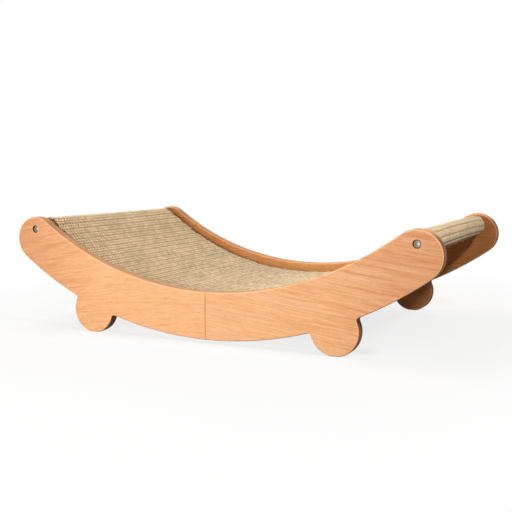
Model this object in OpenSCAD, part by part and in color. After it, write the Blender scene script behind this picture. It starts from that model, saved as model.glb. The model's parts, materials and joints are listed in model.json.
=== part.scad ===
// Sling hammock: two curved side boards, each made of two halves joined at the middle, stand on
// round feet and carry two end rods. A woven sisal mat is slung between the rods.
// Millimetres. X runs along the hammock, Y across it and Z up. The origin is on the floor,
// under the middle.

/* [Side boards] */
// Overall width over both side boards
frame_w = 384; // [250:1:500]
// Thickness of a side board
board_t = 15; // [10:0.5:18]
// Height of the curved board, measured square to its edges
band_w = 64; // [54:1:80]
// Radius of the board's curve along its middle line
arc_r = 474; // [420:1:560]
// Distance from the middle to the centre of each round end
end_x = 280; // [230:1:330]
// Height of the board's lowest edge above the floor
floor_gap = 4.5; // [2:0.5:12]

/* [Feet] */
// Radius of each round foot
foot_r = 32; // [26:0.5:40]
// Distance from the middle to the centre of each foot
foot_x = 180; // [140:1:210]
// Depth of the flat on the sole of each foot
foot_flat = 0.5; // [0.2:0.1:2]
// Radius of the corners where a foot meets the board
foot_fillet = 4; // [2:0.5:8]

/* [Board seam] */
// Diameter of the dowels across each seam
dowel_d = 6; // [4:0.5:8]
// Length of a dowel
dowel_l = 40; // [24:2:60]
// Distance between the two dowels of a seam
dowel_pitch = 38; // [30:1:44]
// Length of the joining plate behind each seam
plate_l = 90; // [70:1:140]
// Height of the joining plate
plate_h = 18; // [12:1:24]
// Thickness of the joining plate
plate_t = 2; // [1:0.25:2.5]
// Diameter of a plate screw's shank
screw_d = 3.5; // [2.5:0.5:4.5]
// Diameter of a plate screw's countersunk head
screw_head_d = 7; // [5:0.5:9]
// Length of a plate screw, head included
screw_l = 10; // [7:0.5:11]
// Width of the crossed slot in a plate screw's head
screw_slot_w = 0.7; // [0.5:0.1:1]
// Length of the crossed slot
screw_slot_l = 4.2; // [3:0.1:4.8]
// Depth of the crossed slot
screw_slot_depth = 1; // [0.5:0.1:1.5]
// Distance from the plate's end to its outer screw
screw_inset = 8; // [6:0.5:12]
// Distance between the two screws in each half of the plate
screw_pitch = 20; // [12:1:22]

/* [End rods and bolts] */
// Diameter of an end rod
rod_d = 24; // [18:1:28]
// Height of a rod's centre above the centre of the board's round end
rod_rise = 14.5; // [6:0.5:16]
// Diameter of the bolts through the board ends
bolt_d = 6; // [5:1:8]
// Length of a bolt under its head
bolt_l = 25; // [18:1:40]
// Diameter of a bolt's head
head_d = 10; // [8.5:0.5:13]
// Height of a bolt's head
head_h = 6; // [4:0.5:8]
// Width across the flats of the hex socket in a bolt's head
socket_af = 5; // [3:0.5:6]
// Depth of the hex socket
socket_depth = 3; // [2:0.25:4]
// Distance from the board's face down to the bolt's head
head_recess = 2.2; // [0.2:0.1:3]
// Outer diameter of the threaded insert in a rod's end
insert_d = 10; // [8.5:0.5:13]
// Length of the threaded insert
insert_l = 15; // [10:1:20]
// Depth of the barbs around the insert
insert_barb = 0.6; // [0.3:0.1:1]

// Bevel on the ends of the bolts and dowels
edge_break = 0.5; // [0.2:0.1:1]

/* [Mat] */
// Thickness of the sisal mat
mat_t = 4; // [2.5:0.25:6]
// Gap between the mat's edge and each side board
mat_side_gap = 16; // [3:0.5:24]
// Depth of the mat's surface below the top edge of the boards, at the middle
mat_drop = 12; // [4:0.5:20]
// Length of mat past each rod that stays with the rod when the sling gives
mat_grip = 10; // [6:0.5:20]
// Angle past the bottom of the rod at which the wrapped end stops
wrap_past = 8; // [0:1:20]

/* [Staples] */
// Number of staples that hold each wrapped end
staple_count = 9; // [5:1:15]
// Width of a staple's crown
staple_w = 10; // [6:0.5:14]
// Length of a staple's legs
staple_leg = 9; // [7:0.5:10]
// Thickness of the square staple wire
staple_wire = 1.2; // [0.8:0.1:1.6]
// Angle of the row of staples before the bottom of the rod
staple_angle = 10; // [6:1:40]
// Depth of a staple's crown below the mat's surface
staple_sink = 0.4; // [0.2:0.1:1]
// Distance from the mat's edge to the first staple
staple_inset = 20; // [12:1:40]

/* [Clearances] */
// Gap around a dowel, and at each of its ends
dowel_gap = 0.1; // [0.05:0.05:0.3]
// Gap around a bolt's shank in the board
bolt_gap = 0.2; // [0.1:0.05:0.5]
// Gap around a bolt's head in its counterbore
head_gap = 0.3; // [0.2:0.05:1]
// Gap around screwed and pressed-in metal
thread_gap = 0.05; // [0.02:0.01:0.1]
// Gap between the rod and the mat wrapped on it
wrap_gap = 0.2; // [0.1:0.05:0.4]
// Space left past the end of a bolt in its rod
bolt_end_gap = 2; // [1:0.5:4]

/* [Hidden] */
$fn = 96;

beech = "#eeb483";
rod_wood = "#dcae7c";
steel = "#9a9a98";
zinc = "#b9b7b0";
brass = "#c2a25a";
sisal = "#cdb48c";

// The board's curve: centre, edges and round ends
outer_r = arc_r + band_w / 2;
inner_r = arc_r - band_w / 2;
end_r = band_w / 2;
arc_z = floor_gap + outer_r;
end_z = arc_z - sqrt(arc_r * arc_r - end_x * end_x);
end_turn = asin(end_x / arc_r);
foot_z = foot_r - foot_flat;
band_mid_z = arc_z - arc_r;
inner_y = frame_w / 2 - board_t;
board_mid_y = inner_y + board_t / 2;
far = 2 * (end_x + band_w);

// Bolts, rods and inserts
rod_z = end_z + rod_rise;
rod_l = 2 * inner_y;
counterbore_d = head_d + 2 * head_gap;
counterbore_depth = head_h + head_recess;
bolt_hole_d = bolt_d + 2 * bolt_gap;
bolt_reach = bolt_l - (board_t - counterbore_depth);

// The mat's sling is an arc that leaves each rod along the rod's tangent. Its centre is above
// the middle: its underside lies sling_r from it, and each rod's centre sling_r plus wrap_r.
wrap_r = rod_d / 2 + wrap_gap;
mat_w = 2 * (inner_y - mat_side_gap);
sling_low_z = arc_z - inner_r - mat_drop - mat_t;
rod_above = rod_z - sling_low_z;
sling_r = (end_x * end_x + rod_above * rod_above - wrap_r * wrap_r) / (2 * (wrap_r + rod_above));
sling_z = sling_low_z + sling_r;
leave_turn = asin(end_x / (sling_r + wrap_r));
sling_turn = leave_turn - mat_grip / sling_r * 180 / PI;
// The end's short stretch of sling runs this far into its wrap, so that the two are one solid
wrap_lap = 0.05;
lap_turn = wrap_lap / sling_r * 180 / PI;
staple_pitch = (mat_w - 2 * staple_inset) / (staple_count - 1);
crown_r = wrap_r + mat_t - staple_sink - staple_wire;

// Screws stand on the middle line of the plate, two in each half
screw_xs = [for (side = [-1, 1]) for (i = [0, 1]) side * (plate_l / 2 - screw_inset - i * screw_pitch)];
head_cone_h = (screw_head_d - screw_d) / 2;

// Shapes that repeat

// Stands a flat outline, drawn with its Y as height, across the hammock from y_low to y_high
module stand(y_low, y_high) {
    translate([0, y_high, 0])
        rotate([90, 0, 0])
            linear_extrude(y_high - y_low)
                children();
}

// A wedge with its corner at the origin, from angle a to angle b, both within half a turn
module wedge(a, b, reach) {
    mid = (a + b) / 2;
    long = reach / cos((b - a) / 4);
    polygon([
        [0, 0],
        reach * [cos(a), sin(a)],
        long * [cos((a + mid) / 2), sin((a + mid) / 2)],
        long * [cos((b + mid) / 2), sin((b + mid) / 2)],
        reach * [cos(b), sin(b)]
    ]);
}

// A flat ring stretch between two radii and two angles
module ring_stretch(r_in, r_out, a, b) {
    intersection() {
        difference() {
            circle(r_out);
            circle(r_in);
        }
        wedge(a, b, 2 * r_out);
    }
}

// Centre of the rounded corner beside a foot, side -1 towards the middle and 1 away from it:
// the point that lies foot_fillet from the foot's circle and from the board's lower edge
function corner_centre(side) =
    let (
        to_foot = [foot_x, foot_z - arc_z],
        d = norm(to_foot),
        along = to_foot / d,
        reach_arc = outer_r + foot_fillet,
        reach_foot = foot_r + foot_fillet,
        a = (d * d + reach_arc * reach_arc - reach_foot * reach_foot) / (2 * d),
        h = sqrt(reach_arc * reach_arc - a * a)
    )
    [0, arc_z] + a * along + side * h * [-along[1], along[0]];

// The point of the board's middle line straight above a corner's centre
function above_corner(side) =
    [0, arc_z] + (corner_centre(side) - [0, arc_z]) * arc_r / (outer_r + foot_fillet);

// Outline of the right half of a side board: curved band, round end and foot, with rounded
// corners beside the foot, cut at the seam and at the floor
module half_outline() {
    difference() {
        intersection() {
            union() {
                translate([0, arc_z])
                    ring_stretch(inner_r, outer_r, -90 - end_turn, -90 + end_turn);
                translate([end_x, end_z])
                    circle(end_r);
                translate([foot_x, foot_z])
                    circle(foot_r);
                polygon([
                    corner_centre(-1),
                    [foot_x, foot_z],
                    corner_centre(1),
                    above_corner(1),
                    above_corner(-1)
                ]);
            }
            square(far);
        }
        for (side = [-1, 1])
            translate(corner_centre(side))
                circle(foot_fillet);
    }
}

// The countersunk holes for the plate screws, through the front plate and into its board
module screw_holes() {
    for (x = screw_xs)
        translate([x, -inner_y + plate_t, band_mid_z])
            rotate([90, 0, 0])
                rotate_extrude()
                    polygon([
                        [0, -plate_t],
                        [screw_head_d / 2 + thread_gap, -plate_t],
                        [screw_head_d / 2 + thread_gap, 0],
                        [screw_d / 2 + thread_gap, head_cone_h],
                        [screw_d / 2 + thread_gap, screw_l],
                        [0, screw_l]
                    ]);
}

// The right half of a front board, with its holes
module board_half() {
    difference() {
        stand(-frame_w / 2, -inner_y)
            half_outline();
        for (z = [-1, 1] * dowel_pitch / 2)
            translate([0, -board_mid_y, band_mid_z + z])
                rotate([0, 90, 0])
                    cylinder(h = dowel_l + 2 * dowel_gap, d = dowel_d + 2 * dowel_gap, center = true);
        screw_holes();
        translate([end_x, -frame_w / 2, rod_z])
            rotate([-90, 0, 0]) {
                cylinder(h = 3 * board_t, d = bolt_hole_d, center = true);
                cylinder(h = 2 * counterbore_depth, d = counterbore_d, center = true);
            }
    }
}

// A dowel across the front seam, at a height from the middle of the band
module dowel(z) {
    translate([0, -board_mid_y, band_mid_z + z])
        rotate([0, 90, 0])
            rotate_extrude()
                polygon([
                    [0, -dowel_l / 2],
                    [dowel_d / 2 - edge_break, -dowel_l / 2],
                    [dowel_d / 2, -dowel_l / 2 + edge_break],
                    [dowel_d / 2, dowel_l / 2 - edge_break],
                    [dowel_d / 2 - edge_break, dowel_l / 2],
                    [0, dowel_l / 2]
                ]);
}

// The front joining plate on the inner face of its board, with countersunk holes
module joining_plate() {
    difference() {
        translate([-plate_l / 2, -inner_y, band_mid_z - plate_h / 2])
            cube([plate_l, plate_t, plate_h]);
        screw_holes();
    }
}

// One countersunk screw, head at the origin and point towards -Z, with a crossed slot
module plate_screw() {
    difference() {
        rotate_extrude()
            polygon([
                [0, 0],
                [screw_head_d / 2, 0],
                [screw_d / 2, -head_cone_h],
                [screw_d / 2, -screw_l + screw_d / 2],
                [0, -screw_l]
            ]);
        for (turn = [0, 90])
            rotate([0, 0, turn])
                cube([screw_slot_l, screw_slot_w, 2 * screw_slot_depth], center = true);
    }
}

// The screws of the front joining plate
module plate_screws() {
    for (x = screw_xs)
        translate([x, -inner_y + plate_t, band_mid_z])
            rotate([-90, 0, 0])
                plate_screw();
}

// The right end rod, bored at both ends for its inserts and for the bolts' tips
module end_rod() {
    translate([end_x, 0, rod_z])
        rotate([90, 0, 0])
            difference() {
                cylinder(h = rod_l, d = rod_d, center = true);
                for (side = [0, 1])
                    mirror([0, 0, side])
                        translate([0, 0, rod_l / 2]) {
                            cylinder(h = 2 * insert_l, d = insert_d + 2 * thread_gap, center = true);
                            cylinder(h = 2 * (bolt_reach + bolt_end_gap), d = bolt_hole_d, center = true);
                        }
            }
}

// The insert in the front end of the right rod: a tube with two barbs around it
module insert() {
    outer = insert_d / 2;
    inner = bolt_d / 2 + thread_gap;
    translate([end_x, -inner_y, rod_z])
        rotate([-90, 0, 0])
            rotate_extrude()
                polygon([
                    [inner, 0],
                    [outer, 0],
                    [outer, insert_l / 4],
                    [outer - insert_barb, insert_l / 4],
                    [outer, insert_l / 2],
                    [outer - insert_barb, insert_l / 2],
                    [outer, insert_l * 3 / 4],
                    [outer - insert_barb, insert_l],
                    [inner, insert_l]
                ]);
}

// The bolt through the front board's right end, with a hex socket in its head
module bolt() {
    translate([end_x, -frame_w / 2 + head_recess, rod_z])
        rotate([-90, 0, 0])
            difference() {
                rotate_extrude()
                    polygon([
                        [0, 0],
                        [head_d / 2 - edge_break, 0],
                        [head_d / 2, edge_break],
                        [head_d / 2, head_h],
                        [bolt_d / 2, head_h],
                        [bolt_d / 2, head_h + bolt_l - edge_break],
                        [bolt_d / 2 - edge_break, head_h + bolt_l],
                        [0, head_h + bolt_l]
                    ]);
                cylinder(h = 2 * socket_depth, d = socket_af / cos(30), center = true, $fn = 6);
            }
}

// The mat's free stretch between the rods
module sling() {
    stand(-mat_w / 2, mat_w / 2)
        translate([0, sling_z])
            ring_stretch(sling_r - mat_t, sling_r, -90 - sling_turn, -90 + sling_turn);
}

// The mat's right end: a short stretch of the sling, then over the rod and round under it
module mat_wrap() {
    stand(-mat_w / 2, mat_w / 2) {
        translate([0, sling_z])
            ring_stretch(sling_r - mat_t, sling_r, -90 + sling_turn, -90 + leave_turn + lap_turn);
        translate([end_x, rod_z]) {
            ring_stretch(wrap_r, wrap_r + mat_t, 0, 90 + leave_turn);
            ring_stretch(wrap_r, wrap_r + mat_t, -90 - wrap_past, 0);
        }
    }
}

// One staple, its crown along X on the origin's plane and its legs towards -Z
module staple() {
    translate([-staple_w / 2, -staple_wire / 2, 0])
        cube([staple_w, staple_wire, staple_wire]);
    for (side = [-1, 1])
        translate([side * (staple_w - staple_wire) / 2 - staple_wire / 2, -staple_wire / 2, -staple_leg])
            cube([staple_wire, staple_wire, staple_leg + staple_wire]);
}

// The row of staples through the wrapped end under the right rod
module staples() {
    translate([end_x, 0, rod_z])
        rotate([0, 90 - staple_angle, 0])
            for (i = [0:staple_count - 1])
                translate([crown_r, -mat_w / 2 + staple_inset + i * staple_pitch, 0])
                    rotate([0, 90, 0])
                        rotate([0, 0, 90])
                            staple();
}

// Copies to the other side of the hammock
module left() mirror([1, 0, 0]) children();
module rear() mirror([0, 1, 0]) children();

// Sub-parts
module front_board_left() color(beech) left() board_half();
module front_board_right() color(beech) board_half();
module rear_board_left() color(beech) rear() left() board_half();
module rear_board_right() color(beech) rear() board_half();
module front_upper_dowel() color(rod_wood) dowel(dowel_pitch / 2);
module front_lower_dowel() color(rod_wood) dowel(-dowel_pitch / 2);
module rear_upper_dowel() color(rod_wood) rear() dowel(dowel_pitch / 2);
module rear_lower_dowel() color(rod_wood) rear() dowel(-dowel_pitch / 2);
module front_joining_plate() color(zinc) joining_plate();
module rear_joining_plate() color(zinc) rear() joining_plate();
module front_plate_screws() color(zinc) plate_screws();
module rear_plate_screws() color(zinc) rear() plate_screws();
module left_end_rod() color(rod_wood) left() end_rod();
module right_end_rod() color(rod_wood) end_rod();
module left_front_insert() color(brass) left() insert();
module left_rear_insert() color(brass) rear() left() insert();
module right_front_insert() color(brass) insert();
module right_rear_insert() color(brass) rear() insert();
module left_front_bolt() color(steel) left() bolt();
module left_rear_bolt() color(steel) rear() left() bolt();
module right_front_bolt() color(steel) bolt();
module right_rear_bolt() color(steel) rear() bolt();
module sisal_sling() color(sisal) sling();
module left_mat_wrap() color(sisal) left() mat_wrap();
module right_mat_wrap() color(sisal) mat_wrap();
module left_mat_staples() color(zinc) left() staples();
module right_mat_staples() color(zinc) staples();

front_board_left();
front_board_right();
rear_board_left();
rear_board_right();
front_upper_dowel();
front_lower_dowel();
rear_upper_dowel();
rear_lower_dowel();
front_joining_plate();
rear_joining_plate();
front_plate_screws();
rear_plate_screws();
left_end_rod();
right_end_rod();
left_front_insert();
left_rear_insert();
right_front_insert();
right_rear_insert();
left_front_bolt();
left_rear_bolt();
right_front_bolt();
right_rear_bolt();
sisal_sling();
left_mat_wrap();
right_mat_wrap();
left_mat_staples();
right_mat_staples();
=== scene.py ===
"""Hammock of curved wooden side boards with a slung sisal mat, dressed for its studio picture.

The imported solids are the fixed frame. Each operator makes one group of pieces on that frame, as
surfaces worked out with numpy, and gives them their finish. Lengths are in metres, X runs along
the hammock, Y from the front board to the rear one, and Z up.
"""

import json
import math

import bpy
import numpy as np
from bpy.props import FloatProperty, FloatVectorProperty, IntProperty, PointerProperty
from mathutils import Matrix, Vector


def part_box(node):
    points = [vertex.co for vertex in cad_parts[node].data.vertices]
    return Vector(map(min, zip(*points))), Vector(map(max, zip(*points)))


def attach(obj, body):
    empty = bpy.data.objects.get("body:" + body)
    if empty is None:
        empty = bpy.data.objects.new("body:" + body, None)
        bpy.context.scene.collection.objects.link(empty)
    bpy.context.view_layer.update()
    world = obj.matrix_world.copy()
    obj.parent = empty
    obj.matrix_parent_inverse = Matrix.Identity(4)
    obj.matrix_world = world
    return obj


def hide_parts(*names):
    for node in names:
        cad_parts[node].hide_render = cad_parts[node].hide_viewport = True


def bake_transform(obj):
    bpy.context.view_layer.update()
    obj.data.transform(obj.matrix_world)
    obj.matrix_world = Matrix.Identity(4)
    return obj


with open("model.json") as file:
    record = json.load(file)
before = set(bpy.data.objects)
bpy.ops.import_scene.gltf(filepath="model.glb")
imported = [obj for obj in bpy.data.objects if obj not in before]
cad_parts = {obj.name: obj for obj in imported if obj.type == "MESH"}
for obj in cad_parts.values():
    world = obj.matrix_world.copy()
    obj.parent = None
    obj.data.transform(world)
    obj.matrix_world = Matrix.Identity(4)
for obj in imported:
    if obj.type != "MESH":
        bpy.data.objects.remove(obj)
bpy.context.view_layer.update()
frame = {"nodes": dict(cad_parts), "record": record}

bl_info = {
    "name": "Sling hammock",
    "version": (1, 0, 0),
    "blender": (4, 5, 0),
    "location": "View3D > Sidebar > Hammock",
    "description": "Dresses the packed hammock with lacquered boards, a ribbed sisal mat and steel",
    "category": "Object",
}

# Places that come from the frame
ROD_LOW, ROD_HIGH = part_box("right_end_rod")
ROD_RADIUS = (ROD_HIGH.z - ROD_LOW.z) / 2
ROD_CENTRE = np.array([(ROD_LOW.x + ROD_HIGH.x) / 2, (ROD_LOW.z + ROD_HIGH.z) / 2])
BOARD_LOW, BOARD_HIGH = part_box("rear_board_right")
BOARD_FACE = BOARD_HIGH.y
BOARD_THICKNESS = BOARD_HIGH.y - BOARD_LOW.y
BOARD_MIDDLE = (BOARD_LOW.y + BOARD_HIGH.y) / 2
SLING_LOW, SLING_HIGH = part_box("sisal_sling")
MAT_HALF_WIDTH = SLING_HIGH.y
BOLT_FACE = -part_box("right_front_bolt")[0].y
BOLT_LENGTH = BOLT_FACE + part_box("right_front_bolt")[1].y

SIDES = {"left": -1.0, "right": 1.0}
ROWS = {"front": -1.0, "rear": 1.0}


# Settings


def length(name, default, description):
    """A length property in metres."""
    return FloatProperty(name=name, description=description, default=default, unit="LENGTH", precision=5)


def angle(name, degrees, description):
    """An angle property, given in degrees."""
    return FloatProperty(name=name, description=description, default=math.radians(degrees), subtype="ANGLE")


def power(name, default, description):
    """A lamp's power in watts."""
    return FloatProperty(name=name, description=description, default=default, unit="POWER")


def factor(name, default, description):
    """A share between 0 and 1."""
    return FloatProperty(name=name, description=description, default=default, min=0, max=1, subtype="FACTOR")


def colour(name, default, description):
    """A linear colour property."""
    return FloatVectorProperty(
        name=name, description=description, default=(*default, 1.0), size=4, min=0, max=1, subtype="COLOR",
    )


class BoardSettings(bpy.types.PropertyGroup):
    """Sizes and colours of the four board halves."""

    band_width: length("Band width", 0.064, "Height of the curved board, square to its edges")
    arc_radius: length("Curve radius", 0.474, "Radius of the board's middle line")
    end_distance: length("End distance", 0.280, "From the middle to the centre of a round end")
    floor_gap: length("Floor gap", 0.0045, "Height of the board's lowest edge above the floor")
    foot_radius: length("Foot radius", 0.032, "Radius of a round foot")
    foot_distance: length("Foot distance", 0.180, "From the middle to the centre of a foot")
    foot_flat: length("Foot flat", 0.0005, "Depth of the flat on a foot's sole")
    foot_fillet: length("Foot fillet", 0.004, "Radius of the corners beside a foot")
    edge_round: length("Edge round", 0.0020, "Radius of the eased long edges")
    seam_ease: length("Seam ease", 0.0007, "Width of the eased edge at the seam")
    counterbore_radius: length("Counterbore radius", 0.0053, "Radius of the hole for a bolt's head")
    counterbore_depth: length("Counterbore depth", 0.0082, "Depth of the hole for a bolt's head")
    bolt_hole_radius: length("Bolt hole radius", 0.0032, "Radius of the hole for a bolt's shank")
    hole_ease: length("Hole ease", 0.0002, "Width of the eased rim of a counterbore")
    light: colour("Light grain", (0.95, 0.537, 0.270), "Lacquered beech between the streaks")
    dark: colour("Dark grain", (0.75, 0.371, 0.187), "Beech in the streaks and towards the ends")
    pink: colour("Pink grain", (0.95, 0.543, 0.330), "Warmer patches of the beech")
    edge_light: colour("Light edge", (0.68, 0.365, 0.180), "Cut edges along the grain")
    edge_dark: colour("Dark edge", (0.34, 0.15, 0.055), "Lines in the cut edges")
    end_grain: colour("End grain", (0.22, 0.095, 0.034), "Cut edges across the grain, which drink lacquer")
    # Painted shade: this colour multiplies the inner faces to darken them
    inner_tint: colour("Inner tint", (0.80, 0.67, 0.45), "What the inner faces' deeper finish takes off")


class BoltSettings(bpy.types.PropertyGroup):
    """Sizes and colours of the four socket-head bolts."""

    head_radius: length("Head radius", 0.005, "Radius of a bolt's head")
    head_height: length("Head height", 0.006, "Height of a bolt's head")
    shank_radius: length("Shank radius", 0.003, "Radius of a bolt's shank")
    socket_width: length("Socket width", 0.005, "Width across the flats of the hex socket")
    socket_depth: length("Socket depth", 0.003, "Depth of the hex socket")
    bevel: length("Bevel", 0.0007, "Bevel of the head and of the shank's tip")
    light: colour("Light steel", (0.44, 0.375, 0.32), "Clean parts of the head")
    dark: colour("Dark steel", (0.32, 0.27, 0.23), "Dull parts of the head")
    # Pale dust on the face, and painted light on the socket's floor
    bright: colour("Socket dust", (0.80, 0.71, 0.62), "Pale dust on the face and in the socket")
    # Painted shade: the dark ring round the head and in the socket
    soil: colour("Soil", (0.10, 0.065, 0.04), "Dark soil round the head")
    dull: factor("Dullness", 0.42, "Roughness of the steel")


class MatSettings(bpy.types.PropertyGroup):
    """Sizes and colours of the sisal mat."""

    thickness: length("Thickness", 0.004, "Thickness over the ribs")
    rod_gap: length("Rod gap", 0.0002, "Gap between a rod and the mat wrapped on it")
    wrap_end: angle("Wrap end", 8, "Angle past the bottom of a rod where the mat stops")
    sling_ribs: IntProperty(name="Sling ribs", description="Ribs on half of the sling", default=25, min=4)
    wrap_rib: length("Wrap rib", 0.0088, "Width of the ribs where the mat is drawn round a rod")
    wrap_start: length("Wrap start", 0.0025, "From the sling's end to the first groove on the rod")
    loop_pitch: length("Loop pitch", 0.0060, "Distance between loops along a rib")
    crest: length("Crest", 0.0012, "Height of the loops above the mat's middle")
    groove: length("Groove", -0.0003, "Height of the grooves above the mat's middle")
    under_lift: length("Under lift", 0.0002, "Height of the underside's grooves above the lower face")
    scallop: length("Scallop", 0.0030, "How far a groove cuts into the mat's side")
    bow: length("Bow", 0.0034, "How far the ribs are drawn on at the rear of a wrap")
    bow_length: length("Bow length", 0.040, "From a rod to where the ribs are straight")
    flare: length("Flare", 0.0045, "How much the sling spreads to each side between the rods")
    flare_length: length("Flare length", 0.018, "From a rod to where the sling is spread")
    ragged: length("Ragged", 0.0050, "How far a rib's end may lie off the mat's side")
    light: colour("Light sisal", (1.0, 0.79, 0.51), "Tops of the loops")
    # Painted shade in the grooves and in the gaps between loops
    dark: colour("Dark sisal", (0.36, 0.235, 0.10), "Bottoms of the grooves")
    grey: colour("Grey sisal", (0.80, 0.61, 0.37), "Duller strands")
    hair_radius: length("Fibre radius", 0.00016, "Radius of the stray fibres on the mat")
    side_radius: length("Side fibre radius", 0.00022, "Radius of the fibres at the mat's sides")
    fringe_radius: length("Fringe radius", 0.00026, "Radius of the fibres at the mat's cut ends")
    hair_shortest: length("Shortest fibre", 0.003, "Shortest fibre on the mat and at its sides")
    hair_longest: length("Longest fibre", 0.008, "Longest fibre on the mat and at its sides")
    fringe: length("Fringe", 0.005, "Longest fibre at the mat's cut ends")
    fringe_band: length("Fringe band", 0.010, "From the cut end to the last fibre of the fringe")


class FittingSettings(bpy.types.PropertyGroup):
    """Colours of the rods and dowels, and of the metal fittings."""

    # The rods' wood is given a dark tone
    rod_light: colour("Light rod", (0.40, 0.245, 0.105), "Oiled beech of the rods")
    rod_dark: colour("Dark rod", (0.22, 0.12, 0.045), "Streaks of the rods")
    zinc_light: colour("Light zinc", (0.47, 0.46, 0.43), "Clean zinc plating")
    zinc_dark: colour("Dark zinc", (0.34, 0.33, 0.31), "Bloom on the zinc plating")
    zinc_dull: factor("Zinc dullness", 0.38, "Roughness of the zinc plating")
    brass_light: colour("Light brass", (0.68, 0.47, 0.16), "Clean brass")
    brass_dark: colour("Dark brass", (0.52, 0.34, 0.09), "Tarnish on the brass")
    brass_dull: factor("Brass dullness", 0.30, "Roughness of the brass")


class StageSettings(bpy.types.PropertyGroup):
    """Camera, light from all round and the powers of the lamps."""

    camera_place: FloatVectorProperty(
        name="Camera place", description="Where the camera stands",
        default=(0.51378, -1.11106, 0.22792), subtype="TRANSLATION",
    )
    camera_tilt: angle("Camera tilt", 6.08, "How far the camera looks down")
    camera_turn: angle("Camera turn", 25.55, "How far the camera is turned to the left")
    lens: FloatProperty(name="Lens", description="Focal length in millimetres", default=56.94, unit="CAMERA")
    ambient: FloatVectorProperty(
        name="Ambient", description="Light from all round, warm as if it came off the wood",
        default=(0.088, 0.048, 0.023), size=3, subtype="COLOR",
    )
    front_power: power("Front", 11.3, "Power of the low front lamp")
    right_power: power("Right", 5.7, "Power of the upper right lamp")
    top_power: power("Top", 6.1, "Power of the lamp above")
    rear_power: power("Rear", 12.0, "Power of the lamp behind")
    left_power: power("Left", 5.0, "Power of the lamp at the left end")
    floor_reach: length("Floor reach", 6.0, "From the middle of the floor to its sides")


# Meshes

HAIR_RINGS = 4
HAIR_SIDES = 3
HAIR_TAPER = 0.6  # Share of its radius that a fibre loses to its tip
OFF_ALL_HAIRS = (0.36, 0.48, 0.80)  # A direction that no fibre follows


def tube_quads(rows, columns):
    """Faces of a grid of rows by columns that closes on itself from the last column to the first."""
    index = np.arange(rows * columns).reshape(rows, columns)
    beside = np.roll(index, -1, axis=1)
    return np.stack([index[:-1], beside[:-1], beside[1:], index[1:]], axis=-1).reshape(-1, 4)


def tube_ends(rows, columns):
    """The first and the last row of such a grid, each as one face that closes the tube."""
    return np.stack([np.arange(columns)[::-1], np.arange((rows - 1) * columns, rows * columns)])


def build_mesh(name, points, *faces):
    """A mesh from an array of points and arrays of faces, each of one corner count, facing outwards."""
    mesh = bpy.data.meshes.new(name)
    corners = np.concatenate([np.asarray(some).ravel() for some in faces])
    lengths = np.concatenate([np.full(len(some), some.shape[1]) for some in faces])
    mesh.vertices.add(len(points))
    mesh.vertices.foreach_set("co", points.astype(np.float32).ravel())
    mesh.loops.add(len(corners))
    mesh.loops.foreach_set("vertex_index", corners.astype(np.int32))
    mesh.polygons.add(len(lengths))
    mesh.polygons.foreach_set("loop_start", (np.cumsum(lengths) - lengths).astype(np.int32))
    mesh.update(calc_edges=True)
    if mesh.validate(verbose=True):
        raise RuntimeError(f"{name}: the mesh has faults")
    if enclosed_volume(mesh) < 0:
        mesh.flip_normals()
    return mesh


def enclosed_volume(mesh):
    """The volume inside a closed mesh: a sixth of the triple products of its triangles' corners."""
    mesh.calc_loop_triangles()
    corners = np.zeros(len(mesh.loop_triangles) * 3, np.int32)
    mesh.loop_triangles.foreach_get("vertices", corners)
    points = np.zeros(len(mesh.vertices) * 3, np.float32)
    mesh.vertices.foreach_get("co", points)
    a, b, c = points.reshape(-1, 3)[corners.reshape(-1, 3)].astype(float).transpose(1, 0, 2)
    return float(np.einsum("ij,ij->i", a, np.cross(b, c)).sum() / 6)


def point_values(mesh, name, values):
    """Stores one number for each point of a mesh."""
    mesh.attributes.new(name, "FLOAT", "POINT").data.foreach_set("value", values.astype(np.float32).ravel())


def add_piece(mesh, material, smooth=True):
    """Puts a mesh into the scene as a piece with its material and smooth faces."""
    mesh.polygons.foreach_set("use_smooth", np.full(len(mesh.polygons), smooth))
    mesh.materials.append(material)
    piece = bpy.data.objects.new(mesh.name, mesh)
    bpy.context.scene.collection.objects.link(piece)
    return piece


def lathe(name, radii, depths, place, direction):
    """A profile turned about an axis along Y, with its first and last rows closed by a face.

    radii has one row per profile point and one column per side, so a row may also be a hexagon.
    A point lies radii[row] from the axis at the turn of its column, and depths[row] along Y.
    """
    rows, sides = radii.shape
    turn = np.linspace(0, 2 * np.pi, sides, endpoint=False)
    points = np.stack([
        place[0] + radii * np.cos(turn),
        np.broadcast_to((place[1] + direction * depths)[:, None], radii.shape),
        place[2] + radii * np.sin(turn),
    ], axis=-1).reshape(-1, 3)
    return build_mesh(name, points, tube_quads(rows, sides), tube_ends(rows, sides))


def hairs(name, starts, ways, bends, reach, radius):
    """Many thin fibres: each a tapered three-sided tube along a parabola.

    Ring t of a fibre lies at its start plus t times its way and t squared times its bend, both
    times its reach. The ring's corners lie round that point, square to the way.
    """
    t = np.linspace(0, 1, HAIR_RINGS)[None, :, None]
    middle = starts[:, None] + reach[:, None, None] * (t * ways[:, None] + t ** 2 * bends[:, None])
    side = np.cross(ways, OFF_ALL_HAIRS)
    side /= np.linalg.norm(side, axis=1)[:, None]
    other = np.cross(ways, side)
    turn = 2 * np.pi * np.arange(HAIR_SIDES) / HAIR_SIDES
    ring = np.cos(turn)[None, :, None] * side[:, None] + np.sin(turn)[None, :, None] * other[:, None]
    thick = radius * (1 - HAIR_TAPER * t)
    points = middle[:, :, None] + thick[..., None] * ring[:, None]
    first = np.arange(len(starts))[:, None, None] * HAIR_RINGS * HAIR_SIDES
    quads = (first + tube_quads(HAIR_RINGS, HAIR_SIDES)[None]).reshape(-1, 4)
    ends = (first + tube_ends(HAIR_RINGS, HAIR_SIDES)[None]).reshape(-1, HAIR_SIDES)
    return build_mesh(name, points.reshape(-1, 3), quads, ends)


# Materials


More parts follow.
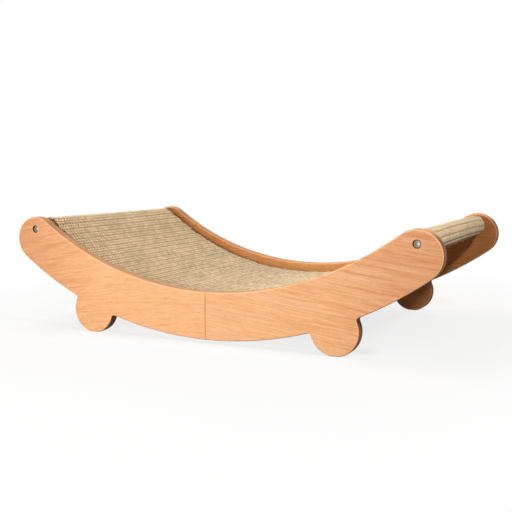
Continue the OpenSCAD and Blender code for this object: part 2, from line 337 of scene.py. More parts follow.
class Nodes:
    """Adds nodes to a tree. An input that is a socket is linked, and any other is set as a value."""

    def __init__(self, tree):
        self.tree = tree

    def put(self, socket, value):
        if isinstance(value, bpy.types.NodeSocket):
            self.tree.links.new(value, socket)
        else:
            socket.default_value = value

    def add(self, kind, inputs=None, **settings):
        node = self.tree.nodes.new(kind)
        for name, value in settings.items():
            setattr(node, name, value)
        for name, value in (inputs or {}).items():
            self.put(node.inputs[name], value)
        return node

    def math(self, operation, a, b=0.0):
        return self.add("ShaderNodeMath", {0: a, 1: b}, operation=operation).outputs[0]

    def times(self, a, b):
        return self.math("MULTIPLY", a, b)

    def plus(self, a, b):
        return self.math("ADD", a, b)

    def split(self, vector):
        return self.add("ShaderNodeSeparateXYZ", {0: vector}).outputs

    def noise(self, vector, by, detail=2.0, rough=0.5):
        """Noise with the given number of waves in a metre along X, Y and Z."""
        place = self.add("ShaderNodeVectorMath", {0: vector, 1: by}, operation="MULTIPLY").outputs[0]
        inputs = {"Vector": place, "Scale": 1.0, "Detail": detail, "Roughness": rough}
        return self.add("ShaderNodeTexNoise", inputs).outputs[0]

    def remap(self, value, low, high, to_low=0.0, to_high=1.0):
        """A value from low to high brought to the range from to_low to to_high, and held inside it."""
        inputs = {0: value, 1: low, 2: high, 3: to_low, 4: to_high}
        return self.add("ShaderNodeMapRange", inputs).outputs[0]

    def mix(self, share, a, b, blend="MIX"):
        inputs = {0: share, 6: a, 7: b}
        return self.add("ShaderNodeMix", inputs, data_type="RGBA", blend_type=blend).outputs[2]

    def shade(self, tone, value):
        """A colour multiplied by a grey value."""
        grey = self.add("ShaderNodeCombineColor", {0: value, 1: value, 2: value}).outputs[0]
        return self.mix(1.0, tone, grey, "MULTIPLY")

    def value_of(self, attribute):
        return self.add("ShaderNodeAttribute", attribute_name=attribute).outputs["Fac"]


def new_group(name, inputs, outputs):
    """An empty node group: its builder, its inputs by name and a function that links its outputs."""
    tree = bpy.data.node_groups.new(name, "ShaderNodeTree")
    for socket, kind in inputs.items():
        tree.interface.new_socket(socket, in_out="INPUT", socket_type=kind)
    for socket, kind in outputs.items():
        tree.interface.new_socket(socket, in_out="OUTPUT", socket_type=kind)
    nodes = Nodes(tree)
    given = nodes.add("NodeGroupInput").outputs

    def put_out(**values):
        nodes.add("NodeGroupOutput", values)

    return nodes, given, put_out


def use_group(nodes, build, inputs):
    """Places a node group in a material, built at its first use."""
    tree = bpy.data.node_groups.get(build.__name__) or build(build.__name__)
    return nodes.add("ShaderNodeGroup", inputs, node_tree=tree).outputs


VECTOR, VALUE, COLOUR = "NodeSocketVector", "NodeSocketFloat", "NodeSocketColor"
SURFACE = {"Color": COLOUR, "Height": VALUE, "Roughness": VALUE}

# What the grain's details multiply the wood's colour by
STREAK_TINT = (0.96, 0.84, 0.72, 1.0)
LINE_DARK = (0.89, 0.85, 0.80, 1.0)
LINE_LIGHT = (1.08, 1.11, 1.15, 1.0)
DASH_TINT = (0.88, 0.77, 0.66, 1.0)
PORE_TINT = (0.88, 0.82, 0.75, 1.0)


def wood_grain(name):
    """Beech grain, with x along the fibres and z across them.

    Arch lays the lines along a parabola, so that z becomes z plus Arch times x squared, and Shift
    then picks a part of the pattern. Broad patches, streaks, fine lines, dashes and pores are
    noise drawn out along x, each finer than the last. The patches turn the colour to pink, and
    the rest multiplies it by warm tints. The streaks grow and the tone deepens from the middle
    of the hammock to its ends.
    """
    inputs = {"Vector": VECTOR, "Shift": VECTOR, "Light": COLOUR, "Dark": COLOUR, "Pink": COLOUR,
              "Arch": VALUE, "Rosy": VALUE, "Streaks": VALUE, "Dashes": VALUE}
    nodes, given, put_out = new_group(name, inputs, SURFACE)
    x, y, z = nodes.split(given["Vector"])
    lift = nodes.times(nodes.times(x, x), given["Arch"])
    bent = nodes.add("ShaderNodeCombineXYZ", {0: x, 1: y, 2: nodes.plus(z, lift)}).outputs[0]
    bent = nodes.add("ShaderNodeVectorMath", {0: bent, 1: given["Shift"]}, operation="ADD").outputs[0]
    patch = nodes.remap(nodes.noise(bent, (4, 30, 45), 2.0), 0.36, 0.64)
    streak = nodes.remap(nodes.noise(bent, (12, 50, 370), 3.0, 0.6), 0.44, 0.66)
    line = nodes.noise(bent, (22, 120, 480), 3.0, 0.65)
    dash = nodes.remap(nodes.noise(bent, (65, 250, 1000), 1.0), 0.50, 0.70)
    pore = nodes.remap(nodes.noise(bent, (260, 500, 2600), 0.0), 0.60, 0.74)
    outward = nodes.math("ABSOLUTE", x)
    deep = nodes.remap(outward, 0.16, 0.31, 0.0, 0.95)
    streak = nodes.times(streak, nodes.remap(outward, 0.02, 0.20, 0.35, 1.0))
    streak = nodes.times(streak, given["Streaks"])
    worn = nodes.times(dash, given["Dashes"])
    tone = nodes.mix(nodes.times(patch, given["Rosy"]), given["Light"], given["Pink"])
    tone = nodes.mix(nodes.plus(deep, streak), tone, given["Dark"])
    tone = nodes.mix(streak, tone, STREAK_TINT, "MULTIPLY")
    tone = nodes.mix(1.0, tone, nodes.mix(nodes.remap(line, 0.3, 0.7), LINE_DARK, LINE_LIGHT), "MULTIPLY")
    tone = nodes.mix(worn, tone, DASH_TINT, "MULTIPLY")
    tone = nodes.mix(pore, tone, PORE_TINT, "MULTIPLY")
    put_out(
        Color=tone,
        Height=nodes.math("SUBTRACT", nodes.times(line, 0.6), nodes.times(pore, 0.5)),
        Roughness=nodes.remap(nodes.plus(worn, line), 0.3, 1.3, 0.40, 0.55),
    )
    return nodes.tree


def sisal_fibre(name):
    """Sisal strands, with x along the mat's length and y along the ribs.

    Fine fibres are noise drawn out along y. Relief runs from the grooves to the tops of the
    loops, and the colour darkens from the tops down into the grooves as painted shade. Strand makes some
    loops duller than others.
    """
    inputs = {"Vector": VECTOR, "Relief": VALUE, "Strand": VALUE,
              "Light": COLOUR, "Dark": COLOUR, "Grey": COLOUR}
    nodes, given, put_out = new_group(name, inputs, SURFACE)
    fibre = nodes.noise(given["Vector"], (2400, 260, 900), 3.0, 0.6)
    patch = nodes.noise(given["Vector"], (18, 14, 14), 2.0)
    tone = nodes.mix(nodes.remap(given["Strand"], 0.3, 1.0), given["Light"], given["Grey"])
    depth = nodes.plus(given["Relief"], nodes.remap(fibre, 0.3, 0.7, -0.14, 0.14))
    # Painted shade: lower relief turns the colour towards the dark sisal, in the grooves and the gaps between
    # loops
    tone = nodes.mix(nodes.remap(depth, 0.15, 0.70, 1.0, 0.0), tone, given["Dark"])
    tone = nodes.shade(tone, nodes.remap(patch, 0.3, 0.7, 0.9, 1.08))
    put_out(Color=tone, Height=fibre, Roughness=nodes.remap(fibre, 0.3, 0.7, 0.95, 0.82))
    return nodes.tree


def worn_metal(name):
    """Drawn or plated metal: fine turning marks round Y, and a cloudy bloom in colour and gloss."""
    inputs = {"Vector": VECTOR, "Light": COLOUR, "Dark": COLOUR, "Dull": VALUE}
    nodes, given, put_out = new_group(name, inputs, SURFACE)
    cloud = nodes.noise(given["Vector"], (260, 260, 260), 3.0)
    mark = nodes.noise(given["Vector"], (900, 4000, 900), 2.0)
    tone = nodes.mix(nodes.remap(cloud, 0.35, 0.65), given["Light"], given["Dark"])
    rough = nodes.plus(given["Dull"], nodes.remap(cloud, 0.3, 0.7, -0.06, 0.10))
    put_out(Color=tone, Height=mark, Roughness=nodes.plus(rough, nodes.times(mark, 0.08)))
    return nodes.tree


# Depths of the surfaces' bumps
LACQUERED_GRAIN = 0.00005
TURNED_GRAIN = 0.0001
METAL_MARKS = 0.00001
SISAL_FIBRES = 0.0003

# On a board's edge
STRIPE_CORE = 0.0005  # Half width of the paler stripe in end grain
STRIPE_SIDE = 0.0016  # Half width of the stripe with its soft sides
INNER_SHADE_REACH = 0.0004  # How far the inner faces' painted shade reaches over the edge
INNER_SHADE_FADE = 0.0012  # How far the painted shade reaches with its soft side


def new_material(name):
    """A material with a Principled shader: the material, its node builder and the shader."""
    material = bpy.data.materials.new(name)
    material.use_nodes = True
    nodes = Nodes(material.node_tree)
    return material, nodes, material.node_tree.nodes["Principled BSDF"]


def join_surface(nodes, shader, tone, rough, height, depth):
    """Links colour, roughness and a bump of the given depth to a Principled shader."""
    bump = nodes.add("ShaderNodeBump", {"Strength": 1.0, "Distance": depth, "Height": height})
    nodes.put(shader.inputs["Base Color"], tone)
    nodes.put(shader.inputs["Roughness"], rough)
    nodes.put(shader.inputs["Normal"], bump.outputs[0])


def object_place(nodes, turn=(0, 0, 0)):
    """Object coordinates, turned for one piece."""
    inputs = {"Vector": nodes.add("ShaderNodeTexCoord").outputs["Object"], "Rotation": turn}
    return nodes.add("ShaderNodeMapping", inputs, vector_type="TEXTURE").outputs[0]


def board_wood(name, turn, arch, shift, rosy, streaks, dashes):
    """Satin lacquered beech with painted shade on the inner faces, and cut edges.

    The attribute edge runs from 0 on the faces to 1 on the flat of an edge, and end_grain from 0
    where an edge follows the grain to 1 where it cuts across it. Edges darken across the grain,
    and end grain that faces up carries painted shade as well. The eased corners carry a painted
    highlight, weak on those that face the hammock's middle.
    """
    b = bpy.context.scene.hammock_boards
    material, nodes, shader = new_material(name)
    grain = use_group(nodes, wood_grain, {
        "Vector": object_place(nodes, (0, math.radians(turn), 0)), "Shift": shift,
        "Light": b.light, "Dark": b.dark, "Pink": b.pink,
        "Arch": arch, "Rosy": rosy, "Streaks": streaks, "Dashes": dashes,
    })
    place = object_place(nodes)
    x, y, _ = nodes.split(place)
    sideways, _, upward = nodes.split(nodes.add("ShaderNodeTexCoord").outputs["Normal"])
    from_middle = nodes.math("SUBTRACT", nodes.math("ABSOLUTE", y), BOARD_MIDDLE)
    over_edge = nodes.value_of("edge")

    line = nodes.noise(place, (30, 800, 30), 3.0, 0.6)
    cut = nodes.mix(nodes.remap(line, 0.45, 0.70, 0.0, 0.5), b.edge_light, b.edge_dark)
    across = nodes.remap(nodes.value_of("end_grain"), 0.50, 0.78, 0.0, 0.85)
    stripe = nodes.remap(nodes.math("ABSOLUTE", from_middle), STRIPE_CORE, STRIPE_SIDE, 0.75, 1.0)
    # Painted shade: end grain is darkened the more it faces up, to six tenths of its colour
    end_grain = nodes.shade(b.end_grain, nodes.remap(upward, -0.2, 0.6, 1.0, 0.6))
    cut = nodes.mix(nodes.times(across, stripe), cut, end_grain)

    # Painted shade: the inner faces and the edge's rounding next to them are multiplied by the inner shade
    # colour
    inner_face = -BOARD_THICKNESS / 2
    inside = nodes.remap(from_middle, inner_face + INNER_SHADE_FADE, inner_face + INNER_SHADE_REACH)
    deep = nodes.mix(1.0, grain["Color"], b.inner_tint, "MULTIPLY")
    face = nodes.mix(inside, grain["Color"], deep)
    # Painted highlight: a light line along the middle of each eased corner, strong unless the corner faces
    # the hammock's middle, where it is weak
    corner = nodes.times(nodes.remap(over_edge, 0.04, 0.20), nodes.remap(over_edge, 0.5, 0.75, 1.0, 0.0))
    outwards = nodes.times(nodes.math("SIGN", x), sideways)
    corner = nodes.times(corner, nodes.remap(outwards, -0.30, 0.0, 0.15, 0.75))
    face = nodes.mix(corner, face, b.light)

    edge = nodes.remap(over_edge, 0.60, 0.94)
    rough = nodes.plus(grain["Roughness"], nodes.times(edge, 0.25))
    join_surface(nodes, shader, nodes.mix(edge, face, cut), rough, grain["Height"], LACQUERED_GRAIN)
    nodes.put(shader.inputs["Coat Weight"], nodes.remap(edge, 0.0, 1.0, 0.16, 0.0))
    shader.inputs["Coat Roughness"].default_value = 0.25
    shader.inputs["Specular IOR Level"].default_value = 0.2
    return material


def turned_wood():
    """Dark turned beech of the rods and dowels, with its grain along Y."""
    f = bpy.context.scene.hammock_fittings
    material, nodes, shader = new_material("turned_wood")
    grain = use_group(nodes, wood_grain, {
        "Vector": object_place(nodes, (0, 0, math.pi / 2)), "Shift": (0.2, 0.1, 0.3),
        "Light": f.rod_light, "Dark": f.rod_dark, "Pink": f.rod_light,
        "Arch": 0.0, "Rosy": 0.6, "Streaks": 0.8, "Dashes": 0.8,
    })
    join_surface(nodes, shader, grain["Color"], grain["Roughness"], grain["Height"], TURNED_GRAIN)
    shader.inputs["Specular IOR Level"].default_value = 0.2
    return material


def metal(name, light, dark, dull):
    """A worn metal of two close tones: the material, its node builder, its shader and its colour."""
    material, nodes, shader = new_material(name)
    inputs = {"Vector": object_place(nodes), "Light": light, "Dark": dark, "Dull": dull}
    surface = use_group(nodes, worn_metal, inputs)
    shader.inputs["Metallic"].default_value = 1.0
    join_surface(nodes, shader, surface["Color"], surface["Roughness"], surface["Height"], METAL_MARKS)
    return material, nodes, shader, surface["Color"]


def socket_steel():
    """The bolts' steel, with pale dust and painted light, and painted shade, where attributes mark them."""
    b = bpy.context.scene.hammock_bolts
    material, nodes, shader, tone = metal("socket_steel", b.light, b.dark, b.dull)
    # Pale dust with painted light, and painted shade round the head, from two attributes
    dusty = nodes.value_of("dusty")
    tone = nodes.mix(dusty, tone, b.bright)
    nodes.put(shader.inputs["Base Color"], nodes.mix(nodes.value_of("soiled"), tone, b.soil))
    nodes.put(shader.inputs["Metallic"], nodes.remap(dusty, 0.0, 1.0, 1.0, 0.2))
    return material


def sisal(name, on_cloth):
    """Sisal on the mat's own cloth map, or on Object coordinates for loose fibres."""
    m = bpy.context.scene.hammock_mat
    material, nodes, shader = new_material(name)
    if on_cloth:
        place = nodes.add("ShaderNodeUVMap", uv_map="cloth").outputs[0]
    else:
        place = object_place(nodes)
    surface = use_group(nodes, sisal_fibre, {
        "Vector": place, "Relief": nodes.value_of("relief"), "Strand": nodes.value_of("strand"),
        "Light": m.light, "Dark": m.dark, "Grey": m.grey,
    })
    join_surface(nodes, shader, surface["Color"], surface["Roughness"], surface["Height"], SISAL_FIBRES)
    shader.inputs["Sheen Weight"].default_value = 0.25
    shader.inputs["Specular IOR Level"].default_value = 0.15
    return material


# Boards

OUTLINE_STEP = 0.002
SEAM_POINTS = 12
EDGE_STEPS = 6
HOLE_SIDES = 64
BOARD_SHARP = math.radians(40)

# Each half is cut from another plank: its grain's slope in degrees, arch, place and strength of detail
BOARD_LOOKS = {
    ("front", "left"): dict(
        turn=-3.5, arch=0.25, shift=(0.31, 0.0, 0.07), rosy=0.2, streaks=0.4, dashes=0.75
    ),
    ("front", "right"): dict(
        turn=7.0, arch=0.0, shift=(1.72, 0.0, 0.40), rosy=0.9, streaks=0.6, dashes=0.6
    ),
    ("rear", "left"): dict(
        turn=5.0, arch=0.3, shift=(2.63, 0.0, 0.95), rosy=0.6, streaks=0.6, dashes=0.8
    ),
    ("rear", "right"): dict(
        turn=-4.0, arch=0.2, shift=(3.47, 0.0, 1.31), rosy=0.6, streaks=0.6, dashes=0.8
    ),
}


def arc(centre, radius, start, stop, outward=1.0):
    """Points and outward normals at even turns along an arc, without its last point."""
    count = max(2, math.ceil(abs(stop - start) * radius / OUTLINE_STEP))
    turn = np.linspace(start, stop, count, endpoint=False)
    way = np.stack([np.cos(turn), np.sin(turn)], axis=1)
    return np.asarray(centre) + radius * way, outward * way


def turn_of(to, start):
    """The direction in the plane from one point to another, as an angle."""
    return math.atan2(to[1] - start[1], to[0] - start[0])


def nearest_turn(turn, other):
    """The same direction as turn, within half a turn of other."""
    return other + (turn - other + math.pi) % (2 * math.pi) - math.pi


def fillet_centre(arc_centre, arc_reach, foot_centre, foot_reach, side):
    """The point at the two given distances from two centres, on one side of the line that joins them."""
    between = foot_centre - arc_centre
    distance = np.linalg.norm(between)
    along = between / distance
    reach = (distance ** 2 + arc_reach ** 2 - foot_reach ** 2) / (2 * distance)
    aside = math.sqrt(arc_reach ** 2 - reach ** 2)
    return arc_centre + reach * along + side * aside * np.array([-along[1], along[0]])


def board_outline(b):
    """Outline of a right board half in the XZ plane, the inward vectors of its eased edge and its end's turn.

    The upper arc runs from the seam to the round end, the lower arc comes back to the foot, which
    joins it by a small fillet on each side and has a flat sole, and the belly arc ends at the
    seam. Each point's inward vector is as long as the edge is eased there.
    """
    down = -math.pi / 2
    outer = b.arc_radius + b.band_width / 2
    inner = b.arc_radius - b.band_width / 2
    middle = np.array([0.0, b.floor_gap + outer])
    end_turn = math.asin(b.end_distance / b.arc_radius)
    end = middle + b.arc_radius * np.array([math.sin(end_turn), -math.cos(end_turn)])
    foot = np.array([b.foot_distance, b.foot_radius - b.foot_flat])
    reach = (outer + b.foot_fillet, foot, b.foot_radius + b.foot_fillet)
    far_corner = fillet_centre(middle, *reach, 1)
    near_corner = fillet_centre(middle, *reach, -1)
    flat_turn = math.acos(1 - b.foot_flat / b.foot_radius)
    flat_half = b.foot_radius * math.sin(flat_turn)
    far_turn = nearest_turn(turn_of(far_corner, foot), down)
    near_turn = nearest_turn(turn_of(near_corner, foot), down)

    def corner(centre, start, stop):
        first = turn_of(start, centre)
        return arc(centre, b.foot_fillet, first, nearest_turn(turn_of(stop, centre), first), -1.0)

    sole = np.array([[b.foot_distance + flat_half, 0.0], [b.foot_distance, 0.0]])
    seam_heights = np.linspace(b.floor_gap, middle[1] - inner, SEAM_POINTS, endpoint=False)
    seam = np.stack([np.zeros_like(seam_heights), seam_heights], axis=1)
    stretches = [
        arc(middle, inner, down, down + end_turn, -1.0),
        arc(end, b.band_width / 2, end_turn - down, end_turn + down),
        arc(middle, outer, down + end_turn, turn_of(far_corner, middle)),
        corner(far_corner, middle, foot),
        arc(foot, b.foot_radius, far_turn, down + flat_turn),
        (sole, np.array([[0.0, -1.0], [0.0, -1.0]])),
        arc(foot, b.foot_radius, down - flat_turn, near_turn),
        corner(near_corner, foot, middle),
        arc(middle, outer, turn_of(near_corner, middle), down),
    ]
    points = np.concatenate([stretch[0] for stretch in stretches] + [seam])
    inward = -b.edge_round * np.concatenate([stretch[1] for stretch in stretches])
    seam_inward = np.tile([b.seam_ease, 0.0], (SEAM_POINTS, 1))
    inward = np.concatenate([inward, seam_inward])
    inward[0] = (b.seam_ease, -b.edge_round)
    inward[-SEAM_POINTS] = (b.seam_ease, b.edge_round)
    return points, inward, end_turn


def bolt_hole(b, end_turn):
    """Rings of the stepped hole for a bolt, from the outer face to the inner one."""
    radii = np.array([
        b.counterbore_radius + b.hole_ease, b.counterbore_radius, b.counterbore_radius,
        b.bolt_hole_radius, b.bolt_hole_radius,
    ])
    depths = np.array([0.0, b.hole_ease, b.counterbore_depth, b.counterbore_depth, BOARD_THICKNESS])
    turn = np.linspace(0, 2 * np.pi, HOLE_SIDES, endpoint=False) + end_turn + np.pi / 2
    return np.stack([
        ROD_CENTRE[0] + radii[:, None] * np.cos(turn),
        np.broadcast_to(depths[:, None], (len(radii), HOLE_SIDES)),
        ROD_CENTRE[1] + radii[:, None] * np.sin(turn),
    ], axis=-1)


def flat_faces(outline, end_turn, first_hole, hole_rings):
    """The two flat faces, each as two polygons, parted by a line across the board through the hole."""
    across = np.array([-math.sin(end_turn), math.cos(end_turn)])
    from_hole = outline - ROD_CENTRE
    from_hole /= np.linalg.norm(from_hole, axis=1)[:, None]
    above = int(np.argmax(from_hole @ across))
    below = int(np.argmin(from_hole @ across))
    count = len(outline)
    last_hole = first_hole + (hole_rings - 1) * HOLE_SIDES
    half = HOLE_SIDES // 2
    faces = []
    for ring_start, hole_start in ((0, first_hole), (first_hole - count, last_hole)):
        ring = ring_start + np.arange(count)
        bore = hole_start + np.arange(HOLE_SIDES)
        outer_way = ring[above:below + 1]
        inner_way = np.concatenate([ring[below:], ring[:above + 1]])
        faces.append(np.concatenate([outer_way, bore[half:], bore[:1]])[None])
        faces.append(np.concatenate([inner_way, bore[:half + 1]])[None])
    return faces


def board_half(name, side, row, material):
    """One board half: a quarter-round edge profile carried round the outline, closed by two flat faces.

    At turn t of the profile a point lies the edge's radius times 1 - sin t inside the outline, and
    times 1 - cos t behind the face. A stepped hole for the bolt runs through both faces.
    """
    b = bpy.context.scene.hammock_boards
    outline, inward, end_turn = board_outline(b)
    count = len(outline)
    turn = np.linspace(0, np.pi / 2, EDGE_STEPS + 1)
    depth = b.edge_round * (1 - np.cos(turn))
    share = np.concatenate([1 - np.sin(turn), 1 - np.sin(turn[::-1])])
    depths = np.concatenate([depth, BOARD_THICKNESS - depth[::-1]])
    flat = outline[None] + share[:, None, None] * inward[None]
    behind = np.broadcast_to(depths[:, None], flat.shape[:2])
    rim = np.stack([flat[..., 0], behind, flat[..., 1]], axis=-1)
    hole = bolt_hole(b, end_turn)
    first_hole = len(rim) * count
    points = np.concatenate([rim.reshape(-1, 3), hole.reshape(-1, 3)])
    points[:, 1] = row * (BOARD_FACE - points[:, 1])
    points[:, 0] *= side
    quads = np.concatenate([
        tube_quads(len(rim), count),
        tube_quads(len(hole), HOLE_SIDES)[:, ::-1] + first_hole,
    ])
    mesh = build_mesh(name, points, quads, *flat_faces(outline, end_turn, first_hole, len(hole)))

    in_hole = np.ones(len(hole) * HOLE_SIDES)
    edge = np.concatenate([np.repeat(1 - share, count), in_hole])
    edge[first_hole:first_hole + HOLE_SIDES] = 0
    edge[-HOLE_SIDES:] = 0
    point_values(mesh, "edge", edge)
    across_grain = np.abs(inward[:, 0]) / np.linalg.norm(inward, axis=1)
    across_grain[inward[:, 0] == b.seam_ease] = 0
    point_values(mesh, "end_grain", np.concatenate([np.tile(across_grain, len(rim)), in_hole]))
    mesh.set_sharp_from_angle(angle=BOARD_SHARP)
    piece = add_piece(mesh, material, smooth=np.arange(len(mesh.polygons)) < len(quads))
    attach(piece, "frame")
    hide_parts(name)


# Bolts

BOLT_SIDES = 48
BOLT_SHARP = math.radians(35)

# Shares on the rings of a bolt, from the socket's floor to the head's side, of pale dust with painted light
# on the socket's floor, and of painted shade in the socket and round the head
BOLT_DUST_AND_LIGHT = (1.0, 1.0, 0.5, 0.4, 0.5, 0.4, 0.2, 0.0)
BOLT_PAINTED_SHADE = (0.0, 0.1, 0.45, 0.25, 0.0, 0.6, 0.9, 1.0)


def bolt(name, side, row, material):
    """A socket-head bolt: a hexagon carried into the head, then the head's and the shank's profile.

    The hexagon's distance from the axis is half its width over the cosine of the turn from the
    middle of the nearest flat.
    """
    b = bpy.context.scene.hammock_bolts
    turn = np.linspace(0, 2 * np.pi, BOLT_SIDES, endpoint=False)
    hexagon = b.socket_width / 2 / np.cos((turn + np.pi / 6) % (np.pi / 3) - np.pi / 6)
    ring = np.ones(BOLT_SIDES)
    profile = [
        (0.5 * hexagon, b.socket_depth + b.bevel / 2),
        (0.96 * hexagon, b.socket_depth),
        (hexagon, b.socket_depth - b.bevel / 4),
        (hexagon, b.bevel / 2),
        (hexagon + b.bevel / 2, 0.0),
        ((b.head_radius - b.bevel) * ring, 0.0),
        ((b.head_radius - b.bevel / 2) * ring, b.bevel / 6),
        (b.head_radius * ring, b.bevel),
        (b.head_radius * ring, b.head_height),
        (b.shank_radius * ring, b.head_height),
        (b.shank_radius * ring, BOLT_LENGTH - b.bevel),
        ((b.shank_radius - b.bevel) * ring, BOLT_LENGTH),
    ]
    radii = np.array([radius for radius, depth in profile])
    depths = np.array([depth for radius, depth in profile])
    place = (side * ROD_CENTRE[0], row * BOLT_FACE, ROD_CENTRE[1])
    mesh = lathe(name, radii, depths, place, -row)
    index = np.repeat(np.arange(len(profile)), BOLT_SIDES)
    # Painted light and pale dust brighten the socket's floor; painted shade darkens the socket's walls and
    # the head's rim and side
    point_values(mesh, "dusty", np.interp(index, np.arange(len(BOLT_DUST_AND_LIGHT)), BOLT_DUST_AND_LIGHT))
    point_values(mesh, "soiled", np.interp(index, np.arange(len(BOLT_PAINTED_SHADE)), BOLT_PAINTED_SHADE))
    mesh.set_sharp_from_angle(angle=BOLT_SHARP)
    piece = add_piece(mesh, material)
    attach(piece, "frame")
    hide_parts(name)


# Mat

ROWS_PER_RIB = 8
LOOP_ROWS_PER_RIB = 2
TOP_COLUMNS = 331
UNDER_COLUMNS = 41

# Each kind of detail on each half of the mat draws its own random numbers, the same at each run
SEEDS = {"loops": 7, "loose": 27, "fringe": 47, "sides": 87, "rib_ends": 182}

# Loops
LOOP_SHIFT = 0.15  # Largest random shift of a row, in loops
LOOP_SWAY = 0.14  # Sway of a row, in loops
SWAY_LENGTH = 0.013  # Distance across the mat for a radian of the sway
SWAY_STEP = 1.7  # Radians of the sway from one row to the next
LOOP_HALF_WIDTH = 0.50  # Across the mat, in loops
LOOP_HALF_LENGTH = 0.58  # Along the mat, in rows
LOOP_ROUNDNESS = 0.8  # Power of the dome
DULL_LOOP_DROP = 0.22  # How much lower the dullest loops are
SLING_SWELL = 0.12  # Share of the height that the rib's own swell makes on the sling
WRAP_SWELL = 0.60  # The same share on the rods

# Cross-section
TOP_EDGE = 0.998  # The upper face's last columns, as a share of the reach
UNDER_EDGE = 0.997  # The underside's last columns, likewise
TOP_EDGE_HEIGHT = 0.25  # Height of the upper face's last columns, as a share of the thickness
SIDE_HEIGHTS = np.array([0.15, -0.35])  # Heights of the two points of a cut side, likewise
WRAP_NOTCH = 1.8  # How many times deeper the grooves cut into the sides on the rods
BOW_START = 0.1  # Where the bow starts, as a share of the half width
BOW_POWER = 1.3  # How the bow grows from there to the rear

# Finish. Relief also sets the sisal's painted shade: the lower the relief, the darker the colour
WRAP_RELIEF = 0.22  # Least relief on the rods, which lessens the painted groove shade there
WRAP_STRAND = 0.26  # Least strand number on the rods
SIDE_RELIEF = 0.6  # Relief of the cut sides, which sets their painted shade
UNDER_RELIEF = 0.3  # Relief of the underside, which sets its painted shade
BESIDE_STRAND = 0.6  # Strand number of the cut sides and the underside


def picks_for(detail, side):
    """The random numbers for one kind of detail on one half of the mat."""
    return np.random.default_rng(SEEDS[detail] + int(side))


def mat_measures():
    """Radii, centre and lengths of the right half of the mat's middle surface, by name.

    The sling is an arc about a point above the middle, whose underside touches the wrap's circle
    on the rod. At that tangent the path goes on round the rod's top to beyond its bottom.
    """
    m = bpy.context.scene.hammock_mat
    wrap_radius = ROD_RADIUS + m.rod_gap
    above = ROD_CENTRE[1] - SLING_LOW.z
    under = (ROD_CENTRE[0] ** 2 + above ** 2 - wrap_radius ** 2) / (2 * (wrap_radius + above))
    leave = math.asin(ROD_CENTRE[0] / (under + wrap_radius))
    sling_radius = under - m.thickness / 2
    wrap_middle = wrap_radius + m.thickness / 2
    return {
        "centre": np.array([0.0, SLING_LOW.z + under]), "leave": leave,
        "sling_radius": sling_radius, "wrap_radius": wrap_middle, "sling_length": sling_radius * leave,
        "total": sling_radius * leave + wrap_middle * (leave + math.pi + m.wrap_end),
    }


def mat_path(distance):
    """Places and upward normals along the middle of the right half of the mat, from X = 0 outwards."""
    k = mat_measures()
    past = distance - k["sling_length"]
    lean = np.where(past < 0, distance / k["sling_radius"], k["leave"] - past / k["wrap_radius"])
    normal = np.stack([-np.sin(lean), np.cos(lean)], axis=-1)
    sling_place = k["centre"] - k["sling_radius"] * normal
    wrap_place = ROD_CENTRE + k["wrap_radius"] * normal
    return np.where((past < 0)[..., None], sling_place, wrap_place), normal


def on_mat(distance, across, height, side):
    """Points at a distance along the mat, a place across it and a height above its middle surface."""
    place, normal = mat_path(distance)
    return np.stack(np.broadcast_arrays(
        side * (place[..., 0] + normal[..., 0] * height), across, place[..., 1] + normal[..., 1] * height,
    ), axis=-1)


def mat_ribs():
    """Distances along half of the mat at which its grooves lie, from the middle to the cut end."""
    m = bpy.context.scene.hammock_mat
    k = mat_measures()
    first = k["sling_length"] + m.wrap_start
    on_sling = np.linspace(0, first, m.sling_ribs + 1)
    return np.concatenate([on_sling, np.arange(first + m.wrap_rib, k["total"], m.wrap_rib), [k["total"]]])


def mat_loops(rib, phase, across, picks):
    """Heights from 0 to 1 and strand numbers on the mat, by rib, by phase in the rib and by place across.

    Each rib is two rows of loops, and a row is set off from the next by half a loop and a little
    more or less, and sways a little. A loop is a dome: a power of one minus the squares of the
    distances from its middle. Where domes of a rib meet, the higher one counts. The rib swells
    under them, as one minus a cube from its middle to its grooves, and more so round a rod.
    """
    m = bpy.context.scene.hammock_mat
    loop_rows = (int(rib.max()) + 1) * LOOP_ROWS_PER_RIB
    loops = math.ceil(2 * MAT_HALF_WIDTH / m.loop_pitch) + 4
    offsets = 0.5 * (np.arange(loop_rows) % 2) + picks.uniform(-LOOP_SHIFT, LOOP_SHIFT, loop_rows)
    strands = picks.random((loop_rows, loops))
    height = np.zeros(np.broadcast_shapes(phase.shape, across.shape))
    strand = np.full(height.shape, 0.5)
    for step in range(LOOP_ROWS_PER_RIB):
        row = rib * LOOP_ROWS_PER_RIB + step
        sway = LOOP_SWAY * np.sin(across / SWAY_LENGTH + SWAY_STEP * row)
        place = (across + MAT_HALF_WIDTH) / m.loop_pitch + offsets[row] + sway
        loop = np.clip(np.floor(place).astype(int), 0, loops - 1)
        aside = (place - np.floor(place) - 0.5) / LOOP_HALF_WIDTH
        along = (phase * LOOP_ROWS_PER_RIB - step - 0.5) / LOOP_HALF_LENGTH
        number = strands[row, loop]
        dome = np.clip(1 - aside ** 2 - along ** 2, 0, 1) ** LOOP_ROUNDNESS
        dome = dome * (1.0 - DULL_LOOP_DROP * number)
        strand = np.where(dome > height, number, strand)
        height = np.maximum(height, dome)
    swell = np.where(rib < m.sling_ribs, SLING_SWELL, WRAP_SWELL)
    return swell * (1 - np.abs(2 * phase - 1) ** 3) + (1 - swell) * height, strand


